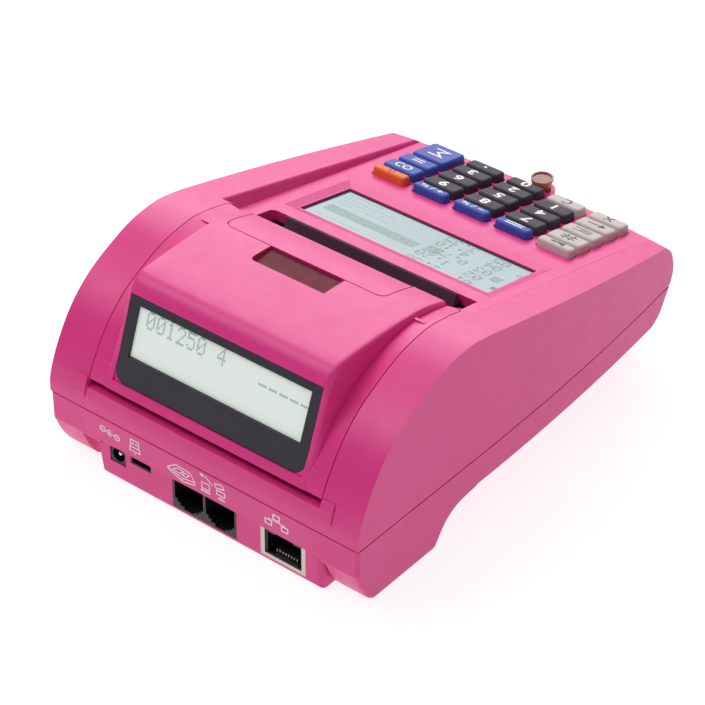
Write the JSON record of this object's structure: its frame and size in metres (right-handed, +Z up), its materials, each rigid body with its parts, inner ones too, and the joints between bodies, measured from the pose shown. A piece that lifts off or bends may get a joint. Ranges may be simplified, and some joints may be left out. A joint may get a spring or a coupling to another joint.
{
  "type": "ticket register",
  "caption": "Compact wedge-shaped ticket register with a keypad, an operator display, a raised customer display, rear sockets and a ticket printer under a hinged cover.",
  "frame": {"origin": "centre of the case's footprint, on the surface it stands on", "axes": "+X across the case, to the left as seen from the customer side; +Y towards the customer display and the rear sockets; +Z up"},
  "size_m": [0.1132, 0.1632, 0.0636],
  "materials": {
    "pink_plastic": "satin",
    "key_charcoal": "satin",
    "key_white": "satin",
    "key_blue": "satin",
    "key_orange": "satin",
    "amber_plastic": "polished",
    "black_plastic": "satin",
    "black_gloss": "polished",
    "socket_metal": "satin",
    "contact_brass": "polished",
    "board_green": "satin",
    "battery_grey": "matte",
    "grey_rubber": "matte",
    "display_panel": "polished",
    "grey_plastic": "matte",
    "motor_steel": "satin",
    "head_aluminium": "satin",
    "bar_steel": "satin",
    "pin_steel": "polished",
    "screw_steel": "satin",
    "black_rubber": "matte",
    "window_plastic": "polished",
    "gear_plastic": "satin",
    "gear_brass": "satin",
    "paper_white": "matte",
    "core_plastic": "matte"
  },
  "bodies": {
    "chassis": {"base_shell": "pink_plastic", "upper_casing": "pink_plastic", "seal_cup": "amber_plastic", "dc_jack": "black_plastic", "usb_socket": "socket_metal", "dual_modular_socket": "black_plastic", "network_socket_shell": "socket_metal", "network_socket_insert": "black_plastic", "network_socket_contacts": "contact_brass", "main_board": "board_green", "battery_pack": "battery_grey", "battery_hatch": "pink_plastic", "keypad_board": "board_green", "key_mat": "grey_rubber", "main_display_module": "board_green", "main_display_glass": "display_panel", "printer_frame": "grey_plastic", "feed_motor": "motor_steel", "print_head": "head_aluminium", "tear_bar": "bar_steel", "paper_bucket": "grey_plastic", "hinge_pins": "pin_steel", "rubber_feet": "black_rubber", "casing_screws": "screw_steel"},
    "cover": {"printer_cover": "pink_plastic", "paper_window": "window_plastic", "customer_display_bezel": "black_gloss", "customer_display_module": "display_panel"},
    "latch": {"cover_latch": "pink_plastic"},
    "platen": {"platen_roller": "black_rubber", "platen_shaft": "pin_steel", "platen_gear": "gear_plastic"},
    "idler": {"idler_gear": "gear_plastic"},
    "pinion": {"motor_pinion": "gear_brass"},
    "roll": {"paper_roll": "paper_white", "paper_core": "core_plastic"},
    "key_feed_body": {"key_feed": "key_white"},
    "key_plu_body": {"key_plu": "key_white"},
    "key_department_body": {"key_department": "key_white"},
    "key_void_body": {"key_void": "key_white"},
    "key_quantity_body": {"key_quantity": "key_white"},
    "key_function_body": {"key_function": "key_blue"},
    "key_7_body": {"key_7": "key_charcoal"},
    "key_4_body": {"key_4": "key_charcoal"},
    "key_1_body": {"key_1": "key_charcoal"},
    "key_clear_body": {"key_clear": "key_white"},
    "key_minus_percent_body": {"key_minus_percent": "key_blue"},
    "key_8_body": {"key_8": "key_charcoal"},
    "key_5_body": {"key_5": "key_charcoal"},
    "key_2_body": {"key_2": "key_charcoal"},
    "key_0_body": {"key_0": "key_charcoal"},
    "key_plus_percent_body": {"key_plus_percent": "key_blue"},
    "key_9_body": {"key_9": "key_charcoal"},
    "key_6_body": {"key_6": "key_charcoal"},
    "key_3_body": {"key_3": "key_charcoal"},
    "key_point_body": {"key_point": "key_charcoal"},
    "key_power_body": {"key_power": "key_orange"},
    "key_pay_body": {"key_pay": "key_blue"},
    "key_subtotal_body": {"key_subtotal": "key_blue"},
    "key_total_body": {"key_total": "key_blue"}
  },
  "joints": [
    {"name": "cover_hinge", "type": "hinge", "parent": "chassis", "child": "cover", "pos_m": [0, 0.0759, 0.032], "axis": [-1, 0, 0], "range_deg": [0, 85]},
    {"name": "latch_hinge", "type": "hinge", "parent": "cover", "child": "latch", "pos_m": [0.0037, 0.0309, 0.0616], "axis": [-1, 0, 0], "range_deg": [0, 8], "stiffness_Nm_per_rad": 0.05, "springref_deg": -5.73},
    {"name": "platen_spin", "type": "hinge", "parent": "cover", "child": "platen", "pos_m": [0, 0.01265, 0.0476], "axis": [1, 0, 0], "continuous": true},
    {"name": "idler_spin", "type": "hinge", "parent": "chassis", "child": "idler", "pos_m": [0.0335, 0.0115, 0.03666], "axis": [1, 0, 0], "continuous": true},
    {"name": "pinion_spin", "type": "hinge", "parent": "chassis", "child": "pinion", "pos_m": [0.0335, 0.0035, 0.02986], "axis": [1, 0, 0], "continuous": true},
    {"name": "roll_spin", "type": "hinge", "parent": "chassis", "child": "roll", "pos_m": [0, 0.0425, 0.03835], "axis": [1, 0, 0], "continuous": true},
    {"name": "key_feed_press", "type": "slide", "parent": "chassis", "child": "key_feed_body", "axis": [0, 0.2096, -0.9778], "range_m": [0, 0.0012], "stiffness_N_per_m": 400},
    {"name": "key_plu_press", "type": "slide", "parent": "chassis", "child": "key_plu_body", "axis": [0, 0.2096, -0.9778], "range_m": [0, 0.0012], "stiffness_N_per_m": 400},
    {"name": "key_department_press", "type": "slide", "parent": "chassis", "child": "key_department_body", "axis": [0, 0.2096, -0.9778], "range_m": [0, 0.0012], "stiffness_N_per_m": 400},
    {"name": "key_void_press", "type": "slide", "parent": "chassis", "child": "key_void_body", "axis": [0, 0.2096, -0.9778], "range_m": [0, 0.0012], "stiffness_N_per_m": 400},
    {"name": "key_quantity_press", "type": "slide", "parent": "chassis", "child": "key_quantity_body", "axis": [0, 0.2096, -0.9778], "range_m": [0, 0.0012], "stiffness_N_per_m": 400},
    {"name": "key_function_press", "type": "slide", "parent": "chassis", "child": "key_function_body", "axis": [0, 0.2096, -0.9778], "range_m": [0, 0.0012], "stiffness_N_per_m": 400},
    {"name": "key_7_press", "type": "slide", "parent": "chassis", "child": "key_7_body", "axis": [0, 0.2096, -0.9778], "range_m": [0, 0.0012], "stiffness_N_per_m": 400},
    {"name": "key_4_press", "type": "slide", "parent": "chassis", "child": "key_4_body", "axis": [0, 0.2096, -0.9778], "range_m": [0, 0.0012], "stiffness_N_per_m": 400},
    {"name": "key_1_press", "type": "slide", "parent": "chassis", "child": "key_1_body", "axis": [0, 0.2096, -0.9778], "range_m": [0, 0.0012], "stiffness_N_per_m": 400},
    {"name": "key_clear_press", "type": "slide", "parent": "chassis", "child": "key_clear_body", "axis": [0, 0.2096, -0.9778], "range_m": [0, 0.0012], "stiffness_N_per_m": 400},
    {"name": "key_minus_percent_press", "type": "slide", "parent": "chassis", "child": "key_minus_percent_body", "axis": [0, 0.2096, -0.9778], "range_m": [0, 0.0012], "stiffness_N_per_m": 400},
    {"name": "key_8_press", "type": "slide", "parent": "chassis", "child": "key_8_body", "axis": [0, 0.2096, -0.9778], "range_m": [0, 0.0012], "stiffness_N_per_m": 400},
    {"name": "key_5_press", "type": "slide", "parent": "chassis", "child": "key_5_body", "axis": [0, 0.2096, -0.9778], "range_m": [0, 0.0012], "stiffness_N_per_m": 400},
    {"name": "key_2_press", "type": "slide", "parent": "chassis", "child": "key_2_body", "axis": [0, 0.2096, -0.9778], "range_m": [0, 0.0012], "stiffness_N_per_m": 400},
    {"name": "key_0_press", "type": "slide", "parent": "chassis", "child": "key_0_body", "axis": [0, 0.2096, -0.9778], "range_m": [0, 0.0012], "stiffness_N_per_m": 400},
    {"name": "key_plus_percent_press", "type": "slide", "parent": "chassis", "child": "key_plus_percent_body", "axis": [0, 0.2096, -0.9778], "range_m": [0, 0.0012], "stiffness_N_per_m": 400},
    {"name": "key_9_press", "type": "slide", "parent": "chassis", "child": "key_9_body", "axis": [0, 0.2096, -0.9778], "range_m": [0, 0.0012], "stiffness_N_per_m": 400},
    {"name": "key_6_press", "type": "slide", "parent": "chassis", "child": "key_6_body", "axis": [0, 0.2096, -0.9778], "range_m": [0, 0.0012], "stiffness_N_per_m": 400},
    {"name": "key_3_press", "type": "slide", "parent": "chassis", "child": "key_3_body", "axis": [0, 0.2096, -0.9778], "range_m": [0, 0.0012], "stiffness_N_per_m": 400},
    {"name": "key_point_press", "type": "slide", "parent": "chassis", "child": "key_point_body", "axis": [0, 0.2096, -0.9778], "range_m": [0, 0.0012], "stiffness_N_per_m": 400},
    {"name": "key_power_press", "type": "slide", "parent": "chassis", "child": "key_power_body", "axis": [0, 0.2096, -0.9778], "range_m": [0, 0.0012], "stiffness_N_per_m": 400},
    {"name": "key_pay_press", "type": "slide", "parent": "chassis", "child": "key_pay_body", "axis": [0, 0.2096, -0.9778], "range_m": [0, 0.0012], "stiffness_N_per_m": 400},
    {"name": "key_subtotal_press", "type": "slide", "parent": "chassis", "child": "key_subtotal_body", "axis": [0, 0.2096, -0.9778], "range_m": [0, 0.0012], "stiffness_N_per_m": 400},
    {"name": "key_total_press", "type": "slide", "parent": "chassis", "child": "key_total_body", "axis": [0, 0.2096, -0.9778], "range_m": [0, 0.0012], "stiffness_N_per_m": 400}
  ],
  "couplings": [
    {"joint": "idler_spin", "follows": "platen_spin", "ratio": -0.46667},
    {"joint": "pinion_spin", "follows": "platen_spin", "ratio": 1.1667}
  ]
}
